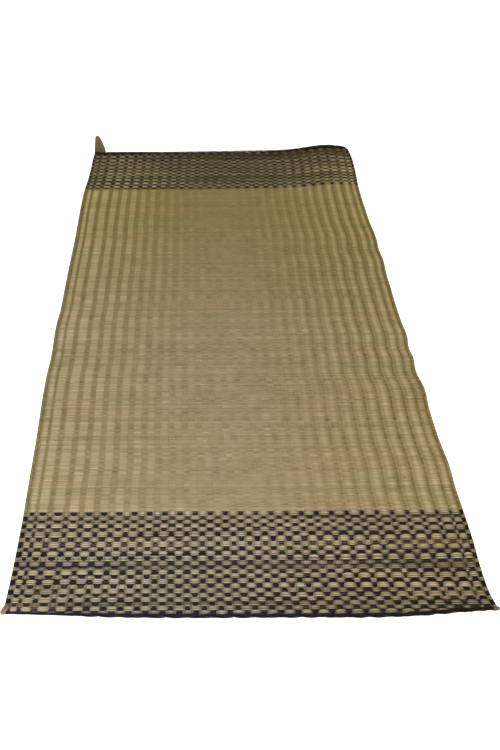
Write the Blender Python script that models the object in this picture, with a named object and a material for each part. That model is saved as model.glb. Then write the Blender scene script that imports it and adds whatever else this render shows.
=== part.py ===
# Madur grass floor mat, about three feet by six, lying flat with its far end a little raised.
# The frame is +X across the mat, +Y along it away from the near end, +Z up, in metres.
# The origin is the middle of the mat's underside, on the floor.

import math

import bmesh
import bpy
import numpy as np

COLLECTION_NAME = "madur_floor_mat"

MAT_LENGTH = 1.8            # over both twined ends
RIB_PITCH = 0.0154          # one warp rib, the width of one woven block
RIB_COUNT = 53              # full ribs between the closer ones at the sides
WEB_THICKNESS = 0.0022      # reed thickness in the valley between two ribs
CREST_MEAN = 0.0040         # height of a rib's crest over the underside
CREST_LEAN = 0.0010         # how much higher every other rib stands at the sides
BORDER_RISE = 0.0005        # how far the underside stands off the floor round its resting part
REST_HALF_WIDTH = 0.400     # the resting part of the underside, a flat rectangle
REST_FROM = 0.100
REST_TO = 1.210
WIDTH_LEAN = 0.30           # how much wider those ribs are at the sides
GAP = 0.0003                # clearance between pieces that touch

TWIST_RADIUS = 0.0031       # twined end, two dyed strands round each other
TWIST_STRAND = 0.0020       # radius across the thin side of the two strands
TWIST_SEGMENT = 0.0308      # one strand's showing length, a pair of ribs
TWIST_STEPS = 4             # path points in one showing length
TWIST_INSET_NEAR = 0.0012   # from the panel's corner to the end of the twist
TWIST_INSET_FAR = 0.0060
CORD_RADIUS = 0.0014        # pale cord beyond the far twist
CORD_INSET = 0.045          # from the mat's sides to the cord's ends

FAR_RISE = 0.034            # the far end's lift off the floor
FAR_RISE_FROM = 1.45        # distance from the near end where the lift starts
CORNER_WAVE = 0.0185        # the extra lift near the far right corner
CORNER_WAVE_AT = 0.375      # its place across the mat
CORNER_WAVE_SPREAD = 0.10
CORNER_WAVE_FROM = 1.30
CORNER_WAVE_RUN = 0.45

END_BOW = 0.011             # how far the near end's middle stands out past its corners
END_BOW_FADE = 0.30         # the distance over which that bow fades along the mat

TONGUE_BASE = 0.038         # pointed bundle at the far left corner
TONGUE_TIP = 0.009
TONGUE_LENGTH = 0.070
TONGUE_THICKNESS = 0.0028
TONGUE_LEAN = math.radians(35)
TONGUE_CURL = 0.006
TONGUE_SKEW = -0.010

TAIL_RADIUS = 0.0034        # trimmed stubs at the near corners
TAIL_TIP_RADIUS = 0.0026

# Closer ribs at the sides, from the outside in, with their widths.
SIDE_RIBS = {
    "left": [("turned_edge", 0.0120), ("first_rib", 0.0128), ("second_rib", 0.0105)],
    "right": [("turned_edge", 0.0105), ("first_rib", 0.0100), ("second_rib", 0.0130), ("third_rib", 0.0130)],
}

# The outline: how far each side stands from the middle line, at distances from the near end.
OUTLINE = [
    # along, left, right
    (0.000, 0.4445, 0.4440),
    (0.030, 0.4496, 0.4500),
    (0.100, 0.4492, 0.4492),
    (0.210, 0.4496, 0.4512),
    (0.310, 0.4530, 0.4545),
    (0.480, 0.4580, 0.4530),
    (0.640, 0.4610, 0.4555),
    (0.740, 0.4640, 0.4520),
    (0.820, 0.4655, 0.4600),
    (0.920, 0.4664, 0.4565),
    (1.030, 0.4670, 0.4600),
    (1.140, 0.4666, 0.4638),
    (1.210, 0.4668, 0.4608),
    (1.310, 0.4670, 0.4652),
    (1.380, 0.4668, 0.4603),
    (1.480, 0.4655, 0.4590),
    (1.580, 0.4640, 0.4560),
    (1.640, 0.4622, 0.4585),
    (1.710, 0.4590, 0.4605),
    (1.765, 0.4540, 0.4560),
    (1.800, 0.4480, 0.4480),
]

# The stations where the woven panel has points, between its two twined ends.
STATIONS = [0.030, 0.100, 0.210, 0.310, 0.430, 0.540, 0.640, 0.740, 0.820, 0.920, 1.030, 1.140,
            1.210, 1.310, 1.380, 1.450, 1.520, 1.580, 1.640, 1.695, 1.740, 1.770]

# Each piece's colour and roughness.
FINISHES = {
    "natural_reed": {"color": (0.42, 0.34, 0.17, 1.0), "roughness": 0.55},
    "dyed_reed": {"color": (0.035, 0.025, 0.045, 1.0), "roughness": 0.50},
    "tail_reed": {"color": (0.30, 0.20, 0.10, 1.0), "roughness": 0.60},
    "pale_cord": {"color": (0.38, 0.33, 0.22, 1.0), "roughness": 0.75},
}


def clear_scene():
    for thing in list(bpy.data.objects):
        bpy.data.objects.remove(thing, do_unlink=True)


def make_collection(name):
    collection = bpy.data.collections.new(name)
    bpy.context.scene.collection.children.link(collection)
    return collection


def make_material(name):
    finish = FINISHES[name]
    material = bpy.data.materials.new(name)
    material.use_nodes = True
    shader = material.node_tree.nodes["Principled BSDF"]
    shader.inputs["Base Color"].default_value = finish["color"]
    shader.inputs["Roughness"].default_value = finish["roughness"]
    shader.inputs["Metallic"].default_value = 0.0
    material.diffuse_color = finish["color"]
    return material


def outline_at(along):
    """Distances of the left and the right side from the middle line."""
    table = np.array(OUTLINE)
    left = np.interp(along, table[:, 0], table[:, 1])
    right = np.interp(along, table[:, 0], table[:, 2])
    return left, right


def lift_at(across, along):
    """Height of the underside over the floor: the far end's rise and the wave at its right."""
    rise = max(0.0, (along - FAR_RISE_FROM) / (MAT_LENGTH - FAR_RISE_FROM))
    wave = min(1.0, max(0.0, (along - CORNER_WAVE_FROM) / CORNER_WAVE_RUN))
    bump = math.exp(-((across - CORNER_WAVE_AT) / CORNER_WAVE_SPREAD) ** 2)
    return FAR_RISE * rise ** 2 + CORNER_WAVE * bump * wave ** 1.5


def bow_at(across, along):
    """How far a row is pushed towards the near end in its middle."""
    left, right = outline_at(0.0)
    share = min(1.0, abs(across) / (0.5 * (left + right)))
    return -END_BOW * (1.0 - share ** 2) * math.exp(-along / END_BOW_FADE)


def place(across, along, height):
    """A point of the mat in world coordinates, from its place across and along and its height."""
    lift = lift_at(across, along)
    y = along - 0.5 * MAT_LENGTH + bow_at(across, along)
    return across, y, lift + height


def rib_profile():
    """The ribs across the mat: shares of its width at valleys and crests, and their heights, from the left."""
    before = [width for name, width in SIDE_RIBS["left"]]
    after = [width for name, width in reversed(SIDE_RIBS["right"])]
    count = len(before) + RIB_COUNT + len(after)
    places = [0.0]
    heights = [WEB_THICKNESS]
    for index in range(count):
        own = index - len(before)
        side = 1.0 - 2.0 * (index + 0.5) / count
        lean = side if own % 2 == 0 else -side
        if own < 0:
            width = before[index]
        elif own < RIB_COUNT:
            width = RIB_PITCH * (1.0 + WIDTH_LEAN * lean)
        else:
            width = after[own - RIB_COUNT]
        start = places[-1]
        places += [start + 0.5 * width, start + width]
        heights += [CREST_MEAN + CREST_LEAN * lean, WEB_THICKNESS]
    return np.array(places) / places[-1], heights


def add_mesh_object(name, mesh_data, finish, collection):
    mesh = bpy.data.meshes.new(name)
    bmesh.ops.recalc_face_normals(mesh_data, faces=mesh_data.faces[:])
    mesh_data.to_mesh(mesh)
    mesh_data.free()
    mesh.shade_smooth()
    mesh.set_sharp_from_angle(angle=math.radians(50))
    thing = bpy.data.objects.new(name, mesh)
    mesh.materials.append(make_material(finish))
    collection.objects.link(thing)
    return thing


def underside_point(column, along, shares):
    """A point under the panel: on the floor inside the resting rectangle, a little off it all round."""
    first = 2 * len(SIDE_RIBS["left"])
    last = len(shares) - 1 - 2 * len(SIDE_RIBS["right"])
    if first <= column <= last and REST_FROM <= along <= REST_TO:
        share = (shares[column] - shares[first]) / (shares[last] - shares[first])
        return REST_HALF_WIDTH * (2.0 * share - 1.0), along - 0.5 * MAT_LENGTH, 0.0
    left, right = outline_at(along)
    return place(-left + shares[column] * (left + right), along, BORDER_RISE)


def make_woven_panel(collection):
    """The panel: a grid, thickened upwards, with its upper points raised into ribs."""
    shares, heights = rib_profile()
    twist_depth = 2.0 * TWIST_RADIUS + GAP
    stations = [twist_depth] + STATIONS + [MAT_LENGTH - twist_depth]
    columns = len(shares) - 1
    rows = len(stations) - 1
    panel = bmesh.new()
    bmesh.ops.create_grid(panel, x_segments=columns, y_segments=rows, size=1.0)
    grown = bmesh.ops.extrude_face_region(panel, geom=panel.faces[:], use_keep_orig=True)
    upper = {part for part in grown["geom"] if isinstance(part, bmesh.types.BMVert)}
    for point in panel.verts:
        column = round((point.co.x + 1.0) / 2.0 * columns)
        row = round((point.co.y + 1.0) / 2.0 * rows)
        if point in upper:
            left, right = outline_at(stations[row])
            across = -left + shares[column] * (left + right)
            point.co = place(across, stations[row], heights[column])
        else:
            point.co = underside_point(column, stations[row], shares)
    return add_mesh_object("mat", panel, "natural_reed", collection)


def end_path(end_inset, height, side_inset, steps):
    """Points along one end of the mat, from its left side to its right, at an inset from the end."""
    left, right = outline_at(end_inset)
    points = []
    for step in range(steps + 1):
        across = -left + side_inset + step / steps * (left + right - 2.0 * side_inset)
        points.append(place(across, end_inset, height))
    return points


def add_curve_object(name, points, radii, tilts, finish, collection):
    """A curve through the points, with a radius and a turn at each."""
    data = bpy.data.curves.new(name, "CURVE")
    data.dimensions = "3D"
    data.twist_mode = "Z_UP"
    data.use_fill_caps = True
    spline = data.splines.new("POLY")
    spline.points.add(len(points) - 1)
    for point, spot, radius, tilt in zip(spline.points, points, radii, tilts):
        point.co = (*spot, 1.0)
        point.radius = radius
        point.tilt = tilt
    data.materials.append(make_material(finish))
    thing = bpy.data.objects.new(name, data)
    collection.objects.link(thing)
    return thing


def make_twist_section(collection):
    """The section of two strands side by side, a guide for the twined ends."""
    data = bpy.data.curves.new("twist_section", "CURVE")
    data.dimensions = "2D"
    sides = 8
    spline = data.splines.new("POLY")
    spline.points.add(sides - 1)
    for index in range(sides):
        turn = -2.0 * math.pi * index / sides
        x = TWIST_RADIUS * math.cos(turn)
        y = TWIST_STRAND * math.sin(turn)
        spline.points[index].co = (x, y, 0.0, 1.0)
    spline.use_cyclic_u = True
    thing = bpy.data.objects.new("twist_section", data)
    thing.hide_render = True
    thing.display_type = "WIRE"
    collection.objects.link(thing)
    return thing


def make_end_twist(name, end_inset, side_inset, section, collection):
    """A twined end: the section of two strands turning steadily along the end of the mat."""
    left, right = outline_at(end_inset)
    length = left + right - 2.0 * side_inset
    steps = round(length / TWIST_SEGMENT * TWIST_STEPS)
    points = end_path(end_inset, TWIST_RADIUS + GAP, side_inset, steps)
    turns = [math.pi * index / TWIST_STEPS for index in range(steps + 1)]
    twist = add_curve_object(name, points, [1.0] * len(points), turns, "dyed_reed", collection)
    twist.data.bevel_mode = "OBJECT"
    twist.data.bevel_object = section
    return twist


def make_far_cord(collection):
    """The pale cord that lies against the far side of the far twist."""
    steps = 40
    points = end_path(MAT_LENGTH, TWIST_RADIUS + 3.0 * GAP, CORD_INSET, steps)
    points = [(x, y + CORD_RADIUS + GAP, z) for x, y, z in points]
    cord = add_curve_object("end_cord_far", points, [1.0] * len(points), [0.0] * len(points),
                            "pale_cord", collection)
    cord.data.bevel_depth = CORD_RADIUS
    cord.data.bevel_resolution = 1
    return cord


def make_corner_tail(name, spots, collection):
    """A trimmed stub of reed ends, a short tapering tube through its spots."""
    radii = [TAIL_RADIUS] * (len(spots) - 1) + [TAIL_TIP_RADIUS]
    tail = add_curve_object(name, spots, radii, [0.0] * len(spots), "tail_reed", collection)
    tail.data.bevel_depth = 1.0
    tail.data.bevel_resolution = 2
    return tail


def make_near_tails(collection):
    """The left stub hugs the corner and points outwards, the right one runs on from the twined end."""
    left, right = outline_at(0.0)
    near = -0.5 * MAT_LENGTH
    low = TAIL_RADIUS + GAP
    beside = -left - TAIL_RADIUS - 2.0 * GAP
    make_corner_tail("corner_tail_near_left", [
        (beside - 0.0014, near + 0.0140, low),
        (beside - 0.0024, near + 0.0060, low),
        (beside - 0.0050, near - 0.0020, low),
    ], collection)
    make_corner_tail("corner_tail_near_right", [
        (right + GAP, near + TWIST_RADIUS, low),
        (right + 0.0070, near + TWIST_RADIUS, low),
        (right + 0.0145, near + TWIST_RADIUS + 0.0016, low),
    ], collection)


def make_corner_tongue(collection):
    """The pointed bundle: a tapering blade that leans back from the corner and curls a little."""
    columns = 6
    rows = 10
    left, right = outline_at(MAT_LENGTH)
    start_x = -left + 0.5 * TONGUE_BASE
    seat = TWIST_RADIUS + GAP - TONGUE_THICKNESS * math.cos(TONGUE_LEAN)
    start = place(start_x, MAT_LENGTH, seat)
    blade = bmesh.new()
    bmesh.ops.create_grid(blade, x_segments=columns, y_segments=rows, size=1.0)
    grown = bmesh.ops.extrude_face_region(blade, geom=blade.faces[:], use_keep_orig=True)
    upper = {part for part in grown["geom"] if isinstance(part, bmesh.types.BMVert)}
    for point in blade.verts:
        side = point.co.x
        along = 0.5 * (point.co.y + 1.0)
        width = TONGUE_BASE + (TONGUE_TIP - TONGUE_BASE) * along ** 0.85
        crown = TONGUE_THICKNESS * (1.0 - 0.55 * side ** 2) * (1.0 - 0.35 * along)
        reach = TONGUE_LENGTH * along
        height = crown if point in upper else 0.0
        curl = TONGUE_CURL * along ** 2
        x = start[0] + 0.5 * width * side + TONGUE_SKEW * along
        y = start[1] + GAP + reach * math.cos(TONGUE_LEAN) - height * math.sin(TONGUE_LEAN)
        z = start[2] + reach * math.sin(TONGUE_LEAN) + height * math.cos(TONGUE_LEAN) + curl
        point.co = (x, y + TONGUE_THICKNESS * math.sin(TONGUE_LEAN), z)
    return add_mesh_object("corner_tongue_far_left", blade, "natural_reed", collection)


def build():
    clear_scene()
    collection = make_collection(COLLECTION_NAME)
    guides = make_collection("guides")
    make_woven_panel(collection)
    section = make_twist_section(guides)
    inset = TWIST_RADIUS
    make_end_twist("end_twist_near", inset, TWIST_INSET_NEAR, section, collection)
    make_end_twist("end_twist_far", MAT_LENGTH - inset, TWIST_INSET_FAR, section, collection)
    make_far_cord(collection)
    make_near_tails(collection)
    make_corner_tongue(collection)


build()
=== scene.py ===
# Looks of the madur grass floor mat: every reed row, twined end and stub is a numpy surface
# laid on the mat's own frame. +X across, +Y along away from the near end, +Z up, in metres.
import math

import bpy
import numpy as np
from mathutils import Matrix, Vector


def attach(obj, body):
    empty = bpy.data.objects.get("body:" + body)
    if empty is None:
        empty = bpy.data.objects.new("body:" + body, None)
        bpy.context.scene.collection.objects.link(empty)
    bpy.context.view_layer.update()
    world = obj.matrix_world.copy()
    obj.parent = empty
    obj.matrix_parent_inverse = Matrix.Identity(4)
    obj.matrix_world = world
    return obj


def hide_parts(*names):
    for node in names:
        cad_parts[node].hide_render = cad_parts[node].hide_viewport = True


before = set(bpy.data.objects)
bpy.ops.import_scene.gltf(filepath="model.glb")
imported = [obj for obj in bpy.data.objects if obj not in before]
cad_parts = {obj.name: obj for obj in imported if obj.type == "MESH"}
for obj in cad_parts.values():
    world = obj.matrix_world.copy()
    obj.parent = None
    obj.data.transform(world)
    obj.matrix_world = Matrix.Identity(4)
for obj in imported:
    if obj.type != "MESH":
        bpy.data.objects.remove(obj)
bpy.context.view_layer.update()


# Camera

cameraSetup = {
    "place": (-0.0917, -1.6087, 1.2378),
    "pitch": math.radians(42.365),   # below the horizon
    "roll": math.radians(-0.428),
    "focalPixels": 741.6,
    "axisColumn": 197.1,             # the pixel column of the optical axis
    "pictureWidth": 500,
    "pictureHeight": 750,
    "sensor": 36.0,
}


def makeCamera(setup):
    # The optical axis points along +Y and down by the pitch, and the picture rolls about it.
    forward = Vector((0.0, math.cos(setup["pitch"]), -math.sin(setup["pitch"])))
    level = Vector((1.0, 0.0, 0.0))
    right = math.cos(setup["roll"]) * level + math.sin(setup["roll"]) * level.cross(forward)
    turn = Matrix((right, right.cross(forward), -forward)).transposed()
    data = bpy.data.cameras.new("camera")
    data.sensor_width = setup["sensor"]
    data.lens = setup["sensor"] * setup["focalPixels"] / setup["pictureHeight"]
    data.shift_x = (0.5 * setup["pictureWidth"] - setup["axisColumn"]) / setup["pictureHeight"]
    camera = bpy.data.objects.new("camera", data)
    camera.matrix_world = Matrix.Translation(setup["place"]) @ turn.to_4x4()
    bpy.context.scene.collection.objects.link(camera)
    bpy.context.scene.camera = camera
    print("camera placed")


makeCamera(cameraSetup)


# The mat's own frame: its outline, its lift, its ribs, and where its bands and twined ends lie

matSize = {
    "length": 1.8,
    "farRise": 0.034,
    "farRiseFrom": 1.45,
    "cornerWave": 0.0185,
    "cornerWaveAt": 0.375,
    "cornerWaveSpread": 0.10,
    "cornerWaveFrom": 1.30,
    "cornerWaveRun": 0.45,
    "ripple": 0.0006,                # low unevenness of the loose sheet
    "rippleRight": 0.0011,
    "halfWidth": 0.46,
    "wander": 0.0013,                # how far the ribs stray sideways
}

# Distances from the near end, and how far the left and the right side stand from the middle line.
outline = {
    "along": [0.00, 0.012, 0.03, 0.06, 0.10, 0.15, 0.21, 0.28, 0.35, 0.44, 0.52, 0.585, 0.655, 0.70, 0.745,
              0.785, 0.85, 0.91, 1.00, 1.07, 1.145, 1.20, 1.25, 1.30, 1.36, 1.44, 1.52, 1.58, 1.64, 1.70,
              1.75, 1.80],
    "left": [0.4503, 0.4508, 0.4504, 0.4497, 0.4491, 0.4493, 0.4499, 0.4523, 0.4543, 0.4568, 0.4603,
             0.4630, 0.4643, 0.4630, 0.4636, 0.4655, 0.4670, 0.4645, 0.4654, 0.4666, 0.4668, 0.4667,
             0.4667, 0.4675, 0.4690, 0.4706, 0.4706, 0.4690, 0.4634, 0.4594, 0.4573, 0.4528],
    "right": [0.4566, 0.4560, 0.4520, 0.4496, 0.4494, 0.4520, 0.4534, 0.4520, 0.4549, 0.4512, 0.4524,
              0.4577, 0.4503, 0.4552, 0.4530, 0.4580, 0.4548, 0.4558, 0.4577, 0.4588, 0.4638, 0.4606,
              0.4642, 0.4648, 0.4609, 0.4608, 0.4606, 0.4596, 0.4624, 0.4634, 0.4600, 0.4500],
}

ribs = {
    "pitch": 0.0156,
    "count": 48,
    # From the turned left edge inwards, and outwards to the turned right edge.
    "left": [0.0105, 0.0150, 0.0045, 0.0215, 0.0085, 0.0250, 0.0090],
    "right": [0.0085, 0.0215, 0.0050, 0.0150, 0.0100],
    "leanLeft": 0.54,
    "leanRight": 0.46,
    "crest": 0.0040,
    "crestLean": 0.0010,
    "valley": 0.0022,
}

# Distances from the near end, at the left and the right side: where each band starts and stops, the
# middles of its first and last row, and those of the rows whose natural reeds pass over the even ribs.
nearRows = [0.0088, 0.0270, 0.0448, 0.0658, 0.0863, 0.1053, 0.1278, 0.1488, 0.1738, 0.1944, 0.2122]
bands = {
    "near": {
        "start": (-0.0040, -0.0040), "first": (0.0002, 0.0002),
        "last": (0.2227, 0.2227), "stop": (0.2290, 0.2290),
        "left": nearRows, "right": nearRows,
    },
    "far": {
        "start": (1.5765, 1.5840), "first": (1.581225, 1.590475),
        "last": (1.7790, 1.7710), "stop": (1.7850, 1.7790),
        "left": [1.5900, 1.6125, 1.6350, 1.6545, 1.6725, 1.6890, 1.7070, 1.7280, 1.7490, 1.7700],
        "right": [1.6025, 1.6185, 1.6340, 1.6530, 1.6710, 1.6890, 1.7080, 1.7280, 1.7450, 1.7620],
    },
}
# The field between them, and how it ends at the left side, the middle and the right side.
fieldFrom = 0.2290
fieldTo = 1.5780
fieldEnd = [1.5765, 1.5760, 1.5840]

# The twined ends: how far each stands out beyond the mat's end and how deep it is, by place across.
twists = {
    "near": {
        "across": [-0.455, -0.37, -0.25, -0.10, 0.00, 0.10, 0.245, 0.33, 0.40, 0.460],
        "outer": [0.0005, 0.0039, 0.0096, 0.0118, 0.0121, 0.0124, 0.0132, 0.0100, 0.0042, -0.0005],
        "depth": [0.0042, 0.0056, 0.0085, 0.0092, 0.0094, 0.0092, 0.0094, 0.0095, 0.0088, 0.0068],
        "flat": 0.80,                # its height over its depth
        "endAt": 0.0,
        "inward": 1.0,
        "insets": (0.0030, 0.0100),
        "turnShare": 0.08,           # the strands' turn, in shares of the depth
        "tone": (0.00, 0.26),
        "pale": 0.0,                 # how much paler it is along the middle of the mat
    },
    "far": {
        "across": [-0.455, -0.30, -0.20, -0.10, 0.00, 0.10, 0.20, 0.28, 0.34, 0.40, 0.455],
        "outer": [-0.0030, -0.0050, -0.0060, -0.0045, -0.0025, -0.0015, -0.0015, -0.0020, -0.0020,
                  -0.0020, -0.0020],
        "depth": [0.0125, 0.0115, 0.0085, 0.0060, 0.0054, 0.0056, 0.0074, 0.0110, 0.0165, 0.0160, 0.0120],
        "flat": 0.50,
        "endAt": 1.8,
        "inward": -1.0,
        "insets": (0.0010, 0.0060),
        "turnShare": 0.05,
        "tone": (0.25, 0.60),
        "pale": 0.30,
    },
}


def smoothTable(at, places, values):
    # A cubic through the table's rows whose slope at each row is the mean slope to its neighbours.
    places = np.array(places)
    values = np.array(values)
    slopes = np.gradient(values, places)
    at = np.clip(at, places[0], places[-1])
    index = np.clip(np.searchsorted(places, at, side="right") - 1, 0, len(places) - 2)
    span = places[index + 1] - places[index]
    t = (at - places[index]) / span
    return (values[index] * (1 + 2 * t) * (1 - t) ** 2 + values[index + 1] * t * t * (3 - 2 * t)
            + span * t * (1 - t) * (slopes[index] * (1 - t) - slopes[index + 1] * t))


def slowNoise(rows, count, knots, spread, seed):
    # Smooth random values along each row: a few random knots joined by a cubic.
    at = np.linspace(0, 1, count)
    places = np.linspace(0, 1, knots)
    draws = [np.random.default_rng(seed + row).normal(0, spread, knots) for row in range(rows)]
    return np.stack([smoothTable(at, places, draw) for draw in draws])


def rise(value, start, reach):
    # 0 up to the start, 1 beyond the reach after it, and straight between them.
    return np.clip((value - start) / reach, 0, 1)


def outlineAt(along):
    # How far the left and the right side stand from the middle line, from the outline's table.
    return [smoothTable(along, outline["along"], outline[side]) for side in ("left", "right")]


def twistShape(end, across):
    # How far a twined end stands out and how deep it is, from its table.
    return [smoothTable(across, twists[end]["across"], twists[end][label]) for label in ("outer", "depth")]


def liftAt(across, along):
    # The far end's rise grows with the square of the distance, the corner wave is a bell across,
    # and two slow sines leave the sheet a little uneven.
    climb = np.clip((along - matSize["farRiseFrom"]) / (matSize["length"] - matSize["farRiseFrom"]), 0, 1.2)
    wave = rise(along, matSize["cornerWaveFrom"], matSize["cornerWaveRun"])
    bell = np.exp(-((across - matSize["cornerWaveAt"]) / matSize["cornerWaveSpread"]) ** 2)
    ripple = matSize["ripple"] * (1 + np.sin(21 * along + 5 * across) * np.sin(9 * across - 4 * along + 1))
    side = np.clip(across / matSize["halfWidth"], 0, 1) ** 2
    ripple = ripple + matSize["rippleRight"] * side * (1 + np.sin(34 * along + 9 * across))
    return matSize["farRise"] * climb ** 2 + matSize["cornerWave"] * bell * wave ** 1.5 + ripple


def onMat(across, along, height):
    # A point's y is its distance along less half the length, its z the sheet's lift plus the height.
    y = along - 0.5 * matSize["length"]
    return np.stack(np.broadcast_arrays(across, y, liftAt(across, along) + height), axis=-1)


def ribLayout():
    # A rib's width is the pitch times one plus its lean, and its lean runs from one side to the other,
    # with every other rib leaning the opposite way.
    before = len(ribs["left"])
    count = before + ribs["count"] + len(ribs["right"])
    index = np.arange(count)
    side = 1.0 - 2.0 * (index + 0.5) / count
    even = (index - before) % 2 == 0
    lean = np.where(even, side, -side)
    width = ribs["pitch"] * (1 + np.where(side > 0, ribs["leanLeft"], ribs["leanRight"]) * lean)
    width[:before] = ribs["left"]
    width[count - len(ribs["right"]):] = ribs["right"]
    edges = np.concatenate([[0.0], np.cumsum(width)])
    return edges / edges[-1], lean, even, side


ribEdges, ribLean, ribEven, ribSide = ribLayout()
ribTotal = len(ribLean)
ribCrest = ribs["crest"] + ribs["crestLean"] * ribLean


def ribAt(place):
    # A place across is a rib's number with its fraction.
    return np.minimum(place.astype(int), ribTotal - 1)


def shareAt(place):
    # The share of the mat's width at a place across.
    return np.interp(place, np.arange(ribTotal + 1), ribEdges)


def acrossAt(place, along):
    # The ribs stray sideways together in slow waves that die out at both sides.
    left, right = outlineAt(along)
    share = shareAt(place)
    stray = np.sin(17 * along + 6 * share) + 0.6 * np.sin(41 * along - 9 * share + 1.3)
    return -left + share * (left + right) + matSize["wander"] * stray * 4 * share * (1 - share)


# Mesh helpers

def makePiece(name, points, faces, material, tone, weave=None):
    # Points and faces go into the mesh as whole arrays, with the weave's map and the tones beside them.
    corners = np.concatenate([part.ravel() for part in faces]).astype(np.int32)
    totals = np.concatenate([np.full(len(part), part.shape[1]) for part in faces])
    starts = np.concatenate([[0], np.cumsum(totals)[:-1]]).astype(np.int32)
    mesh = bpy.data.meshes.new(name)
    mesh.vertices.add(len(points))
    mesh.vertices.foreach_set("co", np.ascontiguousarray(points, np.float32).ravel())
    mesh.loops.add(len(corners))
    mesh.loops.foreach_set("vertex_index", corners)
    mesh.polygons.add(len(totals))
    mesh.polygons.foreach_set("loop_start", starts)
    if weave is not None:
        layer = mesh.uv_layers.new(name="weave")
        layer.data.foreach_set("uv", np.ascontiguousarray(weave[corners], np.float32).ravel())
    layer = mesh.attributes.new("tone", "FLOAT_COLOR", "POINT")
    colour = np.ones((len(points), 4), np.float32)
    colour[:, :3] = tone
    layer.data.foreach_set("color", colour.ravel())
    mesh.update(calc_edges=True)
    mesh.validate()
    mesh.shade_smooth()
    mesh.materials.append(material)
    piece = bpy.data.objects.new(name, mesh)
    bpy.context.scene.collection.objects.link(piece)
    print(name, "has", sum(len(part) * (part.shape[1] - 2) for part in faces), "triangles")
    return piece


def unit(vectors):
    # Vectors divided by their own lengths.
    return vectors / np.linalg.norm(vectors, axis=-1, keepdims=True)


def makeTubes(name, material, paths, wide, tall, sides, tones, turning=False):
    # A profile carried along each path: at every station an ellipse with the half sizes wide and tall
    # stands across the path, and flat caps close the two ends. The wide way is level or, for paths that
    # turn over the mat's edge, along the mat. The tones are the place in the colour ramp, the shade of
    # the valleys and the reed's own hue. Each of them, like the sizes, is one number or an array.
    stations = paths.shape[-2]
    spread = [np.broadcast_to(value, paths.shape[:-1]).reshape(-1, stations, 1)
              for value in (wide, tall, *tones)]
    paths = paths.reshape(-1, stations, 3)
    tangent = unit(np.gradient(paths, axis=1))
    if turning:
        over = unit(np.cross([0.0, 1.0, 0.0], tangent))
        beside = np.cross(tangent, over)
    else:
        beside = unit(np.cross(tangent, [0.0, 0.0, 1.0]))
        over = np.cross(beside, tangent)
    angle = 2 * np.pi * (np.arange(sides) + 0.5) / sides
    points = (paths[:, :, None] + (spread[0] * np.cos(angle))[..., None] * beside[:, :, None]
              + (spread[1] * np.sin(angle))[..., None] * over[:, :, None])
    ring = np.arange(sides)
    starts = np.arange(len(paths))[:, None, None] * stations * sides
    base = (starts[:, :, 0] + np.arange(stations - 1) * sides).reshape(-1, 1)
    here = base + ring
    after = base + (ring + 1) % sides
    walls = np.stack([here, here + sides, after + sides, after], axis=2).reshape(-1, 4)
    ends = starts + (stations - 1) * sides
    fan = np.stack([np.zeros(sides - 2, int), ring[1:-1], ring[2:]], axis=1)
    caps = np.concatenate([starts + fan, ends + fan[:, ::-1]]).reshape(-1, 3)
    tone = np.repeat(np.concatenate(spread[2:], axis=2).reshape(-1, 3), sides, axis=0)
    return makePiece(name, points.reshape(-1, 3), [walls, caps], material, tone)


# Shader nodes. A term is a number, colour or vector inside a node tree, and sums, products and powers
# of terms add the maths nodes that work them out.

def put(tree, kind, inputs=None, **settings):
    # One node: its settings, then its inputs, each a value or a term.
    node = tree.nodes.new(kind)
    for name, value in settings.items():
        setattr(node, name, value)
    for name, value in (inputs or {}).items():
        if isinstance(value, Term):
            tree.links.new(value.socket, node.inputs[name])
        else:
            node.inputs[name].default_value = value
    return node


def term(tree, kind, inputs=None, output=0, **settings):
    # One output of a new node, as a term.
    return Term(tree, put(tree, kind, inputs, **settings).outputs[output])


def maths(operation, swapped=False):
    # What an operator or a name does on a term: it adds one maths node, with that term as an input.
    def work(first, second=0.0):
        values = (second, first) if swapped else (first, second)
        return term(first.tree, "ShaderNodeMath", dict(enumerate(values)), operation=operation)
    return work


class Term:
    def __init__(self, tree, socket):
        self.tree = tree
        self.socket = socket

    __add__ = __radd__ = maths("ADD")
    __mul__ = __rmul__ = maths("MULTIPLY")
    __sub__ = maths("SUBTRACT")
    __rsub__ = maths("SUBTRACT", swapped=True)
    __truediv__ = maths("DIVIDE")
    __pow__ = maths("POWER")
    __mod__ = maths("MODULO")
    __abs__ = maths("ABSOLUTE")
    floor = maths("FLOOR")
    fraction = maths("FRACT")
    above = maths("GREATER_THAN")
    below = maths("LESS_THAN")
    larger = maths("MAXIMUM")


def treeOf(*values):
    # The tree of the first term among the values.
    return next(value.tree for value in values if isinstance(value, Term))


def joined(first, second, third=0.0, kind="XYZ"):
    # Three numbers as one vector or one colour.
    inputs = {0: first, 1: second, 2: third}
    return term(treeOf(first, second, third), "ShaderNodeCombine" + kind, inputs)


def split(value, kind="XYZ"):
    # The three numbers of a vector or a colour.
    node = put(value.tree, "ShaderNodeSeparate" + kind, {0: value})
    return [Term(value.tree, socket) for socket in node.outputs]


def mixed(share, first, second, kind="MIX"):
    # Two colours, mixed by the share of the second.
    inputs = {0: share, 6: first, 7: second}
    return term(treeOf(share, first, second), "ShaderNodeMix", inputs, 2, data_type="RGBA", blend_type=kind)


def times(first, second, share=1.0):
    # One colour multiplied by another, by as much as the share says.
    return mixed(share, first, second, "MULTIPLY")


def between(value, low, high, toLow=0.0, toHigh=1.0):
    # Runs smoothly from one number to the other while the value goes from low to high.
    limits = {"Value": value, "From Min": low, "From Max": high, "To Min": toLow, "To Max": toHigh}
    return term(value.tree, "ShaderNodeMapRange", limits, interpolation_type="SMOOTHSTEP")


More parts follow.
